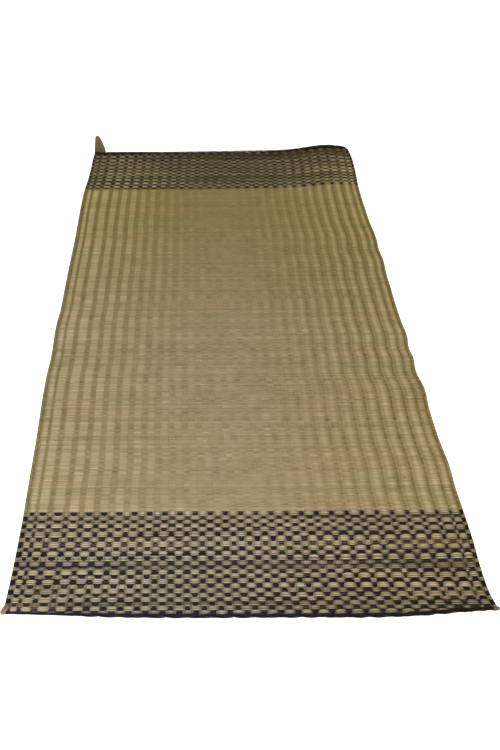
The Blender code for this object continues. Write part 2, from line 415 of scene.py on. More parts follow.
def ramp(share, stops):
    # The colour at a share of the way through a few stops, each a place and a colour.
    node = put(share.tree, "ShaderNodeValToRGB", {"Fac": share})
    bar = node.color_ramp.elements
    while len(bar) < len(stops):
        bar.new(0.5)
    for element, (place, colour) in zip(bar, stops):
        element.position = place
        element.color = (*colour, 1.0)
    return Term(share.tree, node.outputs[0])


def noise(place, detail, scale=1.0, dimensions="2D"):
    # Smooth random clouds, as a number at each place.
    inputs = {"Vector": place, "Scale": scale, "Detail": detail}
    return term(place.tree, "ShaderNodeTexNoise", inputs, noise_dimensions=dimensions)


def chance(value, label="W", dimensions="1D"):
    # A random number for each value.
    return term(value.tree, "ShaderNodeTexWhiteNoise", {label: value}, noise_dimensions=dimensions)


def newGroup(name, inputs):
    # A group with named inputs: each has a starting number or colour, or None for a vector.
    group = bpy.data.node_groups.new(name, "ShaderNodeTree")
    for label, value in inputs.items():
        kind = "Vector" if value is None else "Float" if isinstance(value, float) else "Color"
        socket = group.interface.new_socket(label, in_out="INPUT", socket_type="NodeSocket" + kind)
        if value is not None:
            socket.default_value = value
    given = group.nodes.new("NodeGroupInput")
    return group, [Term(group, given.outputs[label]) for label in inputs]


def closeGroup(group, outputs):
    # Names the group's outputs, which are numbers or colours.
    for label, value in outputs.items():
        kind = "NodeSocketColor" if value.socket.type == "RGBA" else "NodeSocketFloat"
        group.interface.new_socket(label, in_out="OUTPUT", socket_type=kind)
    put(group, "NodeGroupOutput", outputs)
    return group


def shared(tree, group, inputs):
    # A node that uses one of the shared groups, and the group's outputs by their names.
    node = put(tree, "ShaderNodeGroup", inputs, node_tree=group)
    return {socket.name: Term(tree, socket) for socket in node.outputs}


# Shared effects

def makeReedRows():
    # Rows of split reed seen on the ribs: each rib shows every other reed, so the rows of neighbouring
    # ribs are half a step apart. The map gives the rib's number across and the distance along.
    # Here and there a reed lies apart from its neighbour, a dash of painted shade, or stands above
    # them, a dash of painted highlight. Gap is painted shade between the reeds of a row.
    group, (weave, pitch, wobble) = newGroup("reedRows", {"Weave": None, "Pitch": 0.0031, "Wobble": 0.25})
    across, along = split(weave)[:2]
    rib = across.floor()
    odd = rib % 2.0
    drift = (noise(joined(across * 0.13, along * 24.0), 2.0) - 0.5) * wobble
    plain = along / pitch + drift
    row = odd * 0.5 + plain
    reed = row.floor() * 2.0 + odd
    middle = 1.0 - abs(row.fraction() * 2.0 - 1.0)
    odds = chance(joined(rib, reed), "Vector", "2D")
    dark = odds.above(0.965) * between(middle, 0.15, 0.75, 1.0, 0.0)
    pale = odds.below(0.035) * between(middle, 0.1, 0.6)
    return closeGroup(group, {
        "Reed": chance(reed),
        "Hue": chance(reed + 0.37),
        "Streak": noise(joined(across * 0.30, reed * 3.71), 3.0),
        "Gap": between(middle, 0.0, 0.34, 1.0, 0.0),
        "Height": between(middle, 0.0, 0.9),
        "Row": plain,
        "Dash": dark - pale,
    })


# Reeds that stand out across the field: distance along, paleness from -1 to 1, half width in reeds.
markedReeds = [
    (0.243, -0.30, 0.7), (0.268, 0.40, 0.8), (0.295, 0.55, 0.9), (0.316, -0.40, 0.7), (0.333, -0.45, 0.7),
    (0.371, -0.40, 0.7), (0.407, 0.35, 0.8), (0.437, -0.55, 0.8), (0.449, 0.65, 1.0), (0.487, -0.40, 0.7),
    (0.503, 0.60, 1.1), (0.513, -0.80, 0.8), (0.535, 0.35, 0.8), (0.602, -0.40, 0.7), (0.625, -0.65, 0.8),
    (0.653, 0.50, 0.9), (0.703, 0.35, 0.8), (0.735, -0.70, 0.8), (0.745, -0.40, 0.7), (0.768, -0.50, 0.7),
    (0.783, 0.50, 1.0), (0.801, 0.45, 0.9), (0.878, -0.50, 0.8), (0.905, 0.40, 0.9), (0.939, -0.55, 0.9),
    (0.990, -0.45, 0.9), (1.012, -0.45, 0.9), (1.111, -0.50, 1.0), (1.226, -0.45, 1.0), (1.328, -0.50, 1.1),
    (1.362, 0.40, 1.2), (1.529, 0.35, 1.2),
]

# Small dark specks: across, along from the middle, length across, how dark.
fieldSpecks = [
    (0.350, -0.588, 0.007, 0.55), (0.324, -0.588, 0.022, 0.35), (0.368, -0.356, 0.006, 0.60),
    (-0.270, -0.638, 0.006, 0.50), (-0.213, -0.571, 0.009, 0.45), (-0.411, -0.473, 0.008, 0.40),
    (-0.399, -0.391, 0.005, 0.50), (-0.241, -0.221, 0.005, 0.60), (-0.425, -0.580, 0.008, 0.45),
    (-0.134, 0.105, 0.006, 0.40), (-0.067, -0.477, 0.012, 0.30), (-0.384, -0.278, 0.012, 0.30),
    (0.364, -0.412, 0.012, 0.35), (-0.405, 0.600, 0.008, 0.45), (-0.366, 0.203, 0.005, 0.45),
    (0.298, -0.138, 0.006, 0.45), (0.368, -0.089, 0.006, 0.45), (-0.433, -0.105, 0.008, 0.35),
    (-0.405, 0.430, 0.006, 0.40),
]


def makeMarkedRows(pitch):
    # The sum of a soft pulse for each marked reed: full on its row and nothing beyond its half width.
    group, (row,) = newGroup("markedRows", {"Row": 0.0})
    pulses = [between(abs(row - along / pitch), 0.35 * halfWidth, halfWidth, pale, 0.0)
              for along, pale, halfWidth in markedReeds]
    return closeGroup(group, {"Mark": sum(pulses)})


def makeSpecks():
    # Each speck is a soft ellipse, 4 mm along the mat and longer across it.
    group, (place,) = newGroup("fieldSpecks", {"Vector": None})
    kind = "ShaderNodeVectorMath"
    pulses = []
    for across, along, length, dark in fieldSpecks:
        moved = term(group, kind, {0: place, 1: (-across, -along, 0.0)}, operation="ADD")
        scaled = term(group, kind, {0: moved, 1: (2.0 / length, 2.0 / 0.004, 0.0)}, operation="MULTIPLY")
        away = term(group, kind, {0: scaled}, "Value", operation="LENGTH")
        pulses.append(between(away, 0.5, 1.15, dark, 0.0))
    return closeGroup(group, {"Speck": sum(pulses)})


def makeRibShade(total):
    # Painted shade and highlight on the ribs, from the rib's number across. The ribs lean from one side
    # to the other: the low ones are painted dark as shade and the high ones pale as a painted highlight,
    # more so towards the sides, with an edge between them that is soft along the middle of the mat and
    # softest on the right side. Towards the far end the painted shade grows over the edges of the high
    # ribs, and on the right side every rib is painted paler beside its left edge than beside its right
    # one, as if lit from the left. A strip along each side is dark, the right one mostly in the field's
    # near half. Valley is painted shade in the line between two ribs of the left side.
    group, (weave,) = newGroup("ribShade", {"Weave": None})
    place, along = split(weave)[:2]
    far = between(along, 0.5, 1.5)
    side = place * (-2.0 / total) + 1.0
    away = abs(side)
    isHigh = (side * (place.floor() % 2.0 * 2.0 - 1.0)).above(0.0)
    onRight = between(side, -0.1, 0.1, 1.0, 0.0)
    edge = abs(place.fraction() * 2.0 - 1.0)
    soft = between(side, -0.1, 0.7, 0.0, 0.62)
    grow = (isHigh * 2.0 - 1.0) * 0.20 * far + 0.5
    lowShare = abs(1.0 - isHigh - between(edge, soft, 1.0, 0.0, grow))
    leftStrip = between(place, 0.95, 1.5, 1.0, 0.0) * (far * 0.5 + 0.5)
    nearHalf = between(along, 0.32, 0.45) * between(along, 0.55, 0.9, 1.0, 0.0)
    rightStrip = between(place, total - 2.4, total - 0.4) * (nearHalf * 0.55 + 0.25)
    lowShare = lowShare.larger(leftStrip).larger(rightStrip)
    flank = (0.45 - place.fraction() * 0.9) * between(side, -0.35, 0.0, 1.0, 0.0)
    amount = away ** 1.2 * (onRight * (0.58 - far ** 1.5 * 0.42) + 0.90) * (flank + 1.0)
    return closeGroup(group, {
        "Low": lowShare * amount,
        "High": (1.0 - lowShare) * amount,
        "Valley": between(edge, 0.72, 1.0) * between(side, 0.15, 0.8),
        "Side": away,
    })


def makeReedFibre():
    # Fine fibres that run along the reeds, which lie across the mat, and slow mottling over many reeds.
    group, (place, fineness, stretch) = newGroup("reedFibre", {
        "Vector": None, "Fineness": 900.0, "Stretch": 14.0,
    })
    x, y, z = split(place)
    fine = joined(x * stretch, y * fineness, z * fineness)
    return closeGroup(group, {
        "Fibre": noise(fine, 2.0, dimensions="3D"),
        "Mottle": noise(place, 4.0, 22.0, "3D"),
    })


def makeTintAndPaintedFalloff():
    # Broad tints over the mat. Painted light falloff leaves it yellower and darker towards the far end,
    # most along its middle; it is warmer towards the right side, with pinkish and olive patches that are
    # longer across the mat than along it. Own adds a reed's own hue, and Far Color tints the far end
    # once more.
    group, (place, patches, own, warm, leftBlue, farBlue, farColour) = newGroup("tintAndPaintedFalloff", {
        "Vector": None, "Patches": 1.0, "Own": 0.0, "Warm": 1.0, "Left Blue": 0.0, "Far Blue": 0.0,
        "Far Color": (1.0, 1.0, 1.0, 1.0),
    })
    x, y = split(place)[:2]
    far = between(y, -0.35, 0.85)
    # Painted light falloff: paler and bluer at the near end, yellower and darker at the far one.
    base = mixed(far, (1.0, 1.0, 1.055, 1.0), (1.0, 0.975, 0.70, 1.0))
    across = x * 2.2
    middle = (1.0 - across * across).larger(0.0)
    dim = 1.0 - far * middle * 0.13 - middle * 0.11 + (1.0 - middle) * far * 0.10
    dim = dim + between(x, -0.32, -0.05, 0.09, 0.045) + between(x, 0.05, 0.35, 0.0, 0.045)
    right = between(x, -0.10, 0.42) * warm * (1.0 - far * 0.9)
    left = between(x, -0.42, -0.15, 1.0, 0.0) * warm
    blue = 1.0 + left * (far * farBlue + leftBlue) - right * 0.19
    sides = joined(dim, dim * (1.0 - right * 0.05), dim * blue, "Color")
    patch = noise(joined(x * 2.6, y * 15.0), 3.0) + own * 0.16
    hue = ramp(patch, [(0.34, (0.965, 0.995, 0.94)), (0.50, (1.0, 1.0, 1.0)), (0.66, (1.045, 0.99, 0.99))])
    tinted = times(times(base, hue, patches), sides)
    return closeGroup(group, {"Color": times(tinted, farColour, far), "Far": far})


fieldLook = {
    "reedPitch": 0.0031, "wobble": 0.9,
    # The darks of the gaps, valleys and low ribs are painted shade, the paling of the high ribs is a painted
    # highlight, and the dashes are both.
    "gapShade": 0.28, "dashShadeAndHighlight": 0.30, "valleyShade": 0.12, "lowRibShade": 0.385, "highRibHighlight": 0.125,
    "reedShare": 0.31, "streakShare": 0.46, "mottleShare": 0.50, "fibreShare": 0.38, "markShare": 0.17,
    # The core colour is nearly black: painted shade in the gaps between the band reeds.
    "middleCalm": 0.14, "farCalm": 0.24, "farMore": 0.46, "coreShadeColour": (0.012, 0.009, 0.010, 1.0),
}
reedRows = makeReedRows()
markedRows = makeMarkedRows(fieldLook["reedPitch"])
specks = makeSpecks()
ribShade = makeRibShade(ribTotal)
reedFibre = makeReedFibre()
tintAndPaintedFalloff = makeTintAndPaintedFalloff()


# Materials

def startMaterial(name, settings):
    material = bpy.data.materials.new(name)
    material.use_nodes = True
    shader = material.node_tree.nodes["Principled BSDF"]
    for label, value in settings.items():
        shader.inputs[label].default_value = value
    return material, material.node_tree, shader


def startReed(name, roughness, specular, stretch):
    # What all reed has: a place, the tones of its points, fine fibres and mottling.
    settings = {"Roughness": roughness, "Specular IOR Level": specular}
    material, tree, shader = startMaterial(name, settings)
    place = term(tree, "ShaderNodeTexCoord", output="Object")
    tones = split(term(tree, "ShaderNodeAttribute", output="Color", attribute_name="tone"), "Color")
    grain = shared(tree, reedFibre, {"Vector": place, "Fineness": 1100.0, "Stretch": stretch})
    return material, tree, shader, place, tones, grain


def finishReed(shader, colour, bump):
    # Joins the colour and the last bump, that of the fibres, to the shader.
    tree = colour.tree
    tree.links.new(colour.socket, shader.inputs["Base Color"])
    tree.links.new(put(tree, "ShaderNodeBump", bump).outputs[0], shader.inputs["Normal"])


def makeFieldMaterial(look, colours):
    # Colour by reed, with painted shade in the valleys and on the low ribs and a painted highlight on
    # the high ones, and with the rows raised by the bump.
    material, tree, shader, place, tones, grain = startReed("natural_reed_field", 0.58, 0.25, 70.0)
    weave = term(tree, "ShaderNodeUVMap", uv_map="weave")
    rows = shared(tree, reedRows, {"Weave": weave, "Pitch": look["reedPitch"], "Wobble": look["wobble"]})
    mark = shared(tree, markedRows, {"Row": rows["Row"]})["Mark"]
    tint = shared(tree, tintAndPaintedFalloff, {"Vector": place, "Own": rows["Hue"] - 0.5, "Warm": 0.55, "Far Blue": 0.16})
    ribTone = shared(tree, ribShade, {"Weave": weave})
    speck = shared(tree, specks, {"Vector": place})["Speck"]
    # The reeds differ least along the middle and at the far end, where the ribs differ most.
    calm = ribTone["Side"] * look["middleCalm"] + (1.0 - look["middleCalm"])
    calm = calm * (1.0 - tint["Far"] * look["farCalm"])
    weighed = ((rows["Reed"], "reedShare"), (rows["Streak"], "streakShare"),
               (grain["Mottle"], "mottleShare"), (grain["Fibre"], "fibreShare"))
    share = sum((value - 0.5) * look[label] for value, label in weighed) + mark * look["markShare"]
    more = tint["Far"] * look["farMore"] + 1.0
    # Painted shade between the reed rows, at the dark dashes, in the valleys and on the low ribs, a painted
    # highlight at the pale dashes and on the high ribs, and the specks, which are dirt.
    shade = (1.0 - rows["Gap"] * calm * look["gapShade"]) * (1.0 - rows["Dash"] * look["dashShadeAndHighlight"])
    shade = shade * (1.0 - speck) * (1.0 - ribTone["Valley"] * look["valleyShade"])
    shade = shade * (1.0 - ribTone["Low"] * more * look["lowRibShade"])
    shade = shade * (ribTone["High"] * more * look["highRibHighlight"] + 1.0)
    colour = times(ramp(share * calm + 0.5, colours), tint["Color"])
    colour = times(colour, joined(shade, shade ** 1.10, shade ** 1.50, "Color"))
    # The core under the bands is nearly black, painted shade seen through the gaps between the band reeds.
    colour = mixed(tones[0], colour, look["coreShadeColour"])
    raised = term(tree, "ShaderNodeBump", {"Height": rows["Height"], "Strength": 0.45, "Distance": 0.0006})
    fine = {"Height": grain["Fibre"], "Strength": 0.25, "Distance": 0.0002, "Normal": raised}
    finishReed(shader, colour, fine)
    return material


def makeReedMaterial(name, colours, roughness, valleyShade, mottleShare, specular, tints=None):
    # Reed for the tubes: a tone for each reed, fibres along it, and shade where it dives between ribs.
    material, tree, shader, place, (tone, valley, own), grain = startReed(name, roughness, specular, 16.0)
    tint = shared(tree, tintAndPaintedFalloff, {"Vector": place, "Own": own, **(tints or {})})["Color"]
    share = (grain["Mottle"] - 0.5) * mottleShare + tone + (grain["Fibre"] - 0.5) * 0.30
    shade = 1.0 - valley * valleyShade
    colour = times(times(ramp(share, colours), tint), joined(shade, shade, shade, "Color"))
    finishReed(shader, colour, {"Height": grain["Fibre"], "Strength": 0.35, "Distance": 0.0003})
    return material


naturalColours = [(0.00, (0.150, 0.118, 0.052)), (0.25, (0.262, 0.215, 0.098)), (0.50, (0.385, 0.316, 0.166)),
                  (0.75, (0.475, 0.395, 0.225)), (1.00, (0.600, 0.515, 0.340))]
bandColours = [(0.00, (0.165, 0.132, 0.085)), (0.25, (0.275, 0.228, 0.140)), (0.50, (0.430, 0.360, 0.232)),
               (0.75, (0.560, 0.476, 0.310)), (1.00, (0.705, 0.618, 0.428))]
dyedColours = [(0.00, (0.0050, 0.0040, 0.0075)), (0.45, (0.0140, 0.0105, 0.0215)),
               (0.75, (0.0300, 0.0220, 0.0400)), (1.00, (0.1250, 0.0850, 0.0800))]
tailColours = [(0.00, (0.105, 0.078, 0.045)), (0.40, (0.180, 0.132, 0.078)),
               (0.70, (0.310, 0.225, 0.130)), (1.00, (0.370, 0.290, 0.150))]
bladeColours = [(0.00, (0.110, 0.100, 0.056)), (0.45, (0.170, 0.148, 0.082)),
                (0.75, (0.230, 0.185, 0.110)), (1.00, (0.400, 0.310, 0.210))]
cordColours = [(0.00, (0.200, 0.170, 0.120)), (0.50, (0.330, 0.280, 0.200)), (1.00, (0.430, 0.380, 0.280))]

noTints = {"Patches": 0.0, "Warm": 0.0}
bandTints = {"Far Color": (0.96, 1.0, 1.16, 1.0)}
dyedTints = {"Patches": 0.0, "Warm": 3.2, "Left Blue": -0.06, "Far Color": (1.45, 1.04, 0.15, 1.0)}
fieldReed = makeFieldMaterial(fieldLook, naturalColours)
# Name, colours, roughness, shade of the valleys, share of the mottling, sheen, tints.
edgeReed = makeReedMaterial("natural_reed_edge", naturalColours, 0.60, 0.50, 0.40, 0.20)
bandReed = makeReedMaterial("natural_reed_band", bandColours, 0.55, 0.60, 0.30, 0.25, bandTints)
dyedReed = makeReedMaterial("dyed_reed_band", dyedColours, 0.55, 0.40, 0.50, 0.18, dyedTints)
tailReed = makeReedMaterial("tail_reed", tailColours, 0.65, 0.30, 0.40, 0.20, noTints)
bladeReed = makeReedMaterial("natural_reed_blade", bladeColours, 0.60, 0.30, 0.40, 0.20, noTints)
paleCord = makeReedMaterial("pale_cord", cordColours, 0.78, 0.30, 0.60, 0.20, noTints)
print("materials made")


# The woven sheet: the ribbed field, and the thin core under the two bands

sheetLook = {
    "seed": 41,
    "ribParts": [0.0, 0.08, 0.24, 0.5, 0.76, 0.92],
    "rowPitch": 0.0062,
    "nearRows": 16,          # rows under the near and the far band, a sharp step away from the field
    "farRows": 14,
    "step": 0.0006,
    "underSteps": 2,
    "underRows": 50,
    "underDip": 0.0011,      # how far the ribs of the underside stand below its valleys
    "coreTop": 0.0020,
    "coreUnder": 0.0014,
    "rowUneven": 0.00022,
    "middleValley": 0.30,    # how deep the valleys are along the mat's middle line, of their full depth
    "rightValley": 0.6,      # and on the right side
    "farLevel": 0.85,        # how much flatter the right side's ribs get towards the far end
    "rimHeight": 0.55,       # height at the rim of the turned edges, of their full height
    "skewFrom": 0.10,        # how far before the far band the rows begin to slant with it
    "domePower": 2.3,        # 2 is a round rib, more is flatter
    "highPower": 3.6,        # how much more the high ribs have on the left side
    "rightPower": 0.35,      # and the share of it that those on the right side have
}


def domeAt(part, lean, side):
    # High ribs have broad flat tops and steep sides, most so on the left side, low ones are round.
    flatter = np.clip(lean, 0, 1) * np.where(side > 0, 1.0, sheetLook["rightPower"])
    power = sheetLook["domePower"] + sheetLook["highPower"] * flatter
    return 1 - np.abs(2 * part - 1) ** power


def sheetSide(place, along, height, inField):
    # One side of the sheet: its points, its weave map and the tone that marks the core. Near the far
    # band the rows turn until they follow the band's own start. The first row lies under the near twist.
    along = along[:, None]
    skew = np.interp(shareAt(place), [0.0, 0.5, 1.0], fieldEnd) - fieldTo
    reach = rise(along, fieldTo - sheetLook["skewFrom"], sheetLook["skewFrom"])
    past = np.clip((matSize["length"] - along) / (matSize["length"] - fieldTo), 0, 1)
    along = along + skew * reach * past
    across = acrossAt(place, along)
    outer, depth = twistShape("near", across[0])
    along[0] = 0.5 * depth - outer
    points = onMat(across, along, height)
    weave = np.stack(np.broadcast_arrays(place + 1e-4, along), axis=-1)
    tone = np.broadcast_to(np.where(inField, 0.0, 1.0)[:, None, None], points.shape)
    return points, weave, tone


def gridFaces(rows, columns, first=0, flip=False):
    # Four corners for every cell of a grid of points laid out row by row.
    start = (np.arange(rows - 1)[:, None] * columns + np.arange(columns - 1)).ravel() + first
    faces = np.stack([start, start + 1, start + columns + 1, start + columns], axis=1)
    return faces[:, ::-1] if flip else faces


def stitch(fine, fineAt, coarse, coarseAt, flip=False):
    # Joins a finely and a coarsely divided rim with triangles: each short edge of the one goes to the
    # nearest point of the other, and each long edge closes the gap between two such fans.
    middle = 0.5 * (fineAt[1:] + fineAt[:-1])
    near = np.abs(coarseAt - middle[:, None]).argmin(axis=1)
    fans = np.stack([fine[:-1], fine[1:], coarse[near]], axis=1)
    jump = np.searchsorted(near, np.arange(1, len(coarse)))
    closes = np.stack([coarse[:-1], fine[np.minimum(jump, len(fine) - 1)], coarse[1:]], axis=1)
    return [fans, closes] if flip else [fans[:, ::-1], closes[:, ::-1]]


def makeWovenSheet(look):
    # Height over the underside: in the field a dome on every rib, from the valley to the rib's crest,
    # in the bands the flat core. The underside has its own lower domes, and a rim joins the two.
    parts = np.array(look["ribParts"])
    place = np.append((np.arange(ribTotal)[:, None] + parts).ravel(), ribTotal)
    rib = ribAt(place)
    side = ribSide[rib]
    dome = domeAt(place - rib, ribLean[rib], side)
    count = round((fieldTo - fieldFrom) / look["rowPitch"])
    lastRow = matSize["length"] - 0.5 * twists["far"]["depth"][0]
    along = np.concatenate([np.linspace(0.0, fieldFrom - look["step"], look["nearRows"]),
                            np.linspace(fieldFrom, fieldTo, count),
                            np.linspace(fieldTo + look["step"], lastRow, look["farRows"])])
    inField = (along >= fieldFrom - 1e-6) & (along <= fieldTo + 1e-6)
    full = look["middleValley"] + (1 - look["middleValley"]) * np.abs(side)
    full = full * np.where(side > 0, 1.0, look["rightValley"])
    level = look["farLevel"] * rise(along, -0.5, 2.0)[:, None] * np.clip(-3 * side, 0, 1)
    drop = (ribCrest[rib] - ribs["valley"]) * full * (1 - level)
    source = np.random.default_rng(look["seed"])
    uneven = source.normal(0, look["rowUneven"], (len(along), ribTotal))[:, rib]
    height = np.where(inField[:, None], ribCrest[rib] - drop + dome * (drop + uneven), look["coreTop"])
    edge = np.clip(np.minimum(place, ribTotal - place), 0, 1)
    height = height * (look["rimHeight"] + (1 - look["rimHeight"]) * np.sqrt(edge))
    top = sheetSide(place, along, height, inField)

    picked = np.round(np.linspace(0, len(along) - 1, look["underRows"])).astype(int)
    picked = np.unique(np.concatenate([picked, np.flatnonzero(~inField)]))
    underPlace = np.arange(ribTotal * look["underSteps"] + 1) / look["underSteps"]
    underDome = domeAt(underPlace - ribAt(underPlace), 0.0, 1.0)
    underHeight = np.where(inField[picked][:, None], look["underDip"] * (1 - underDome), look["coreUnder"])
    under = sheetSide(underPlace, along[picked], underHeight, inField[picked])

    topLines = np.arange(top[0].size // 3).reshape(top[0].shape[:2])
    underLines = topLines.size + np.arange(under[0].size // 3).reshape(under[0].shape[:2])
    columnAt = np.arange(len(place))
    underColumnAt = np.arange(len(underPlace)) * len(parts) / look["underSteps"]
    rowAt = np.arange(len(along))
    faces = [gridFaces(*topLines.shape), gridFaces(*underLines.shape, topLines.size, flip=True)]
    for line, flip in ((0, True), (-1, False)):
        faces += stitch(topLines[line], columnAt, underLines[line], underColumnAt, flip)
        faces += stitch(topLines[:, line], rowAt, underLines[:, line], picked, not flip)
    points, weave, tone = [np.concatenate([part.reshape(-1, part.shape[-1]) for part in pair])
                           for pair in zip(top, under)]
    return makePiece("woven_sheet", points, faces, fieldReed, tone, weave)


wovenSheet = makeWovenSheet(sheetLook)


# The check bands: in every row a natural and a dyed bundle of three reeds change places over and under

bandLook = {
    "reeds": 3,
    "stepsPerRib": 4,
    "reedTall": 0.00068,
    "under": 0.0009,
    "crown": 0.00034,
    "favourLift": 0.0006,
    "spillLift": 0.0009,
    "favourSeed": {"near": 900, "far": 960},
    "swing": 0.20,           # how much taller a row is where its natural reeds pass over high ribs
    "toneSpread": {"near": 0.14, "far": 0.24},
    # Rows of the far band whose dyed reeds show more: the row, the middle of the stretch, its half length.
    "standOut": [(2, 0.20, 0.16), (3, 0.22, 0.14), (11, 0.52, 0.20), (10, 0.50, 0.18), (7, 0.62, 0.20)],
    "twistLap": 0.0010,      # how far the outer rows reach under the twined ends
    "growMost": 0.0085,
    "crossLeast": 0.10,      # least width at a crossing, in row heights
    "leanRound": 0.35,       # how much fuller the humps of the high ribs are
    "wander": 0.0004,        # how far a row strays along the mat, and each reed in it
    "jitter": 0.00016,
    "thick": (0.84, 1.18),
    "reedTone": 0.10,
    "besideOwn": -1.6,       # the natural row beside the field is as yellow as the field
    "besideTone": -0.08,
}
bundleLook = {
    # Widths are in row heights; over, under and at the crossings. Push is the shift along at crossings,
    # early the widening towards the near end, and stand the widening in the rows that stand out.
    "natural": {
        "tone": 0.52, "crossLevel": 0.0026, "over": 1.06, "cross": 0.94, "under": 0.50, "push": 0.03,
        "roundOver": 0.45, "roundUnder": 0.90, "low": 0.0, "way": 1.0, "crossSwing": 0.14, "spill": 0.26,
        "overlap": 1.04, "narrow": 0.0, "early": -0.075, "stand": -0.14, "uneven": 0.12,
    },
    "dyed": {
        "tone": 0.55, "crossLevel": 0.0016, "over": 0.73, "cross": 0.21, "under": 0.40, "push": 0.13,
        "roundOver": 0.80, "roundUnder": 0.50, "low": 0.0003, "way": -1.0, "crossSwing": 0.20, "spill": 0.26,
        "overlap": 1.12, "narrow": 0.45, "early": 0.13, "stand": 0.42, "uneven": 0.20,
    },
}
# How much paler the reeds are in each part of a band; the parts are worked out in toneParts. The
# darkening on the low ribs is painted shade and the paling on the high ribs a painted highlight.
bandTones = {
    "near natural": {"lowRibsShaded": -0.22, "fieldMiddle": 0.25, "right": -0.07},
    "near dyed": {"fieldMiddle": 0.12},
    "far natural": {
        "all": -0.15, "lowRibsShaded": -0.22, "highRibsLit": 0.24, "dull": -0.12, "middle": 0.05, "left": -0.05,
        "outerLeft": 0.04, "leftEdge": -0.28, "outerRight": -0.11, "nearRight": 0.14, "lastRows": -0.34,
        "lastRowsRight": -0.22,
    },
    "far dyed": {"dull": 0.30, "lastRowsAll": 0.16, "middle": 0.06},
}


def rowsAcross(end, place, side):
    # Middles and heights of the rows at each place across. Between and beyond the rows with natural
    # reeds over the even ribs lie those with natural reeds over the odd ribs. Rows that cover high ribs
    # are taller. The near band begins under the twined end, and the last two far rows grow to meet it.
    rows = bands[end]
    even = np.stack([rows["left"], rows["right"]], axis=1)
    middles = np.empty((2 * len(even) + 1, 2))
    middles[0::2] = np.concatenate([[rows["first"]], 0.5 * (even[1:] + even[:-1]), [rows["last"]]])
    middles[1::2] = even
    limits = np.concatenate([[rows["start"]], 0.5 * (middles[1:] + middles[:-1]), [rows["stop"]]])
    overEven = np.arange(len(middles)) % 2 == 1
    share = shareAt(place)
    limits = limits[:, :1] * (1 - share) + limits[:, 1:] * share
    left, right = outlineAt(twists[end]["endAt"])
    outer, depth = twistShape(end, share * (left + right) - left)
    if end == "near":
        limits[0] = np.maximum(limits[0], bandLook["twistLap"] - outer)
    else:
        reach = matSize["length"] + outer - depth + bandLook["twistLap"]
        more = np.clip(reach - limits[-1], 0.0, bandLook["growMost"])
        limits[-2] += 0.5 * more
        limits[-1] += more
    height = np.diff(limits, axis=0)
    kind = np.where(overEven, 1.0, -1.0)[:, None]
    limits[1:-1] += 0.25 * bandLook["swing"] * side * kind[:-1] * (height[1:] + height[:-1])
    return 0.5 * (limits[1:] + limits[:-1]), np.diff(limits, axis=0), overEven


def toneParts(rowShare, lean, side, over):
    # The parts of a band, each from 0 to 1, by the row's share of the way from the near edge, by the
    # rib's lean, and by its side, which is 1 at the left edge of the mat and -1 at the right one.
    lastRows = rise(rowShare, 0.86, 0.14)
    middle = 1 - side ** 2
    return {
        "all": 1.0,
        "middle": middle,
        "fieldMiddle": rowShare * middle,
        # painted shade on the low ribs, and a painted highlight on the high ones
        "lowRibsShaded": np.clip(-lean, 0, 1) * over,
        "highRibsLit": np.clip(lean, 0, 1),
        "left": np.clip(side, 0, 1),
        "outerLeft": rise(side, 0.4, 0.4),
        "leftEdge": rise(side, 0.75, 0.15),
        "right": np.clip(-side, 0, 1),
        "outerRight": rise(-side, 0.3, 0.4),
        "nearRight": rise(-side, 0.4, 0.4) * (1 - rowShare),
        "dull": rowShare ** 1.4 * np.clip(1.15 - 1.6 * np.clip(side, 0, 1), 0, 1),
        "lastRowsAll": lastRows,
        "lastRows": lastRows * np.clip(1.2 - side, 0, 1),
        "lastRowsRight": lastRows * np.clip(1.2 - side, 0, 1) * np.clip(-1.5 * side, 0, 1),
    }


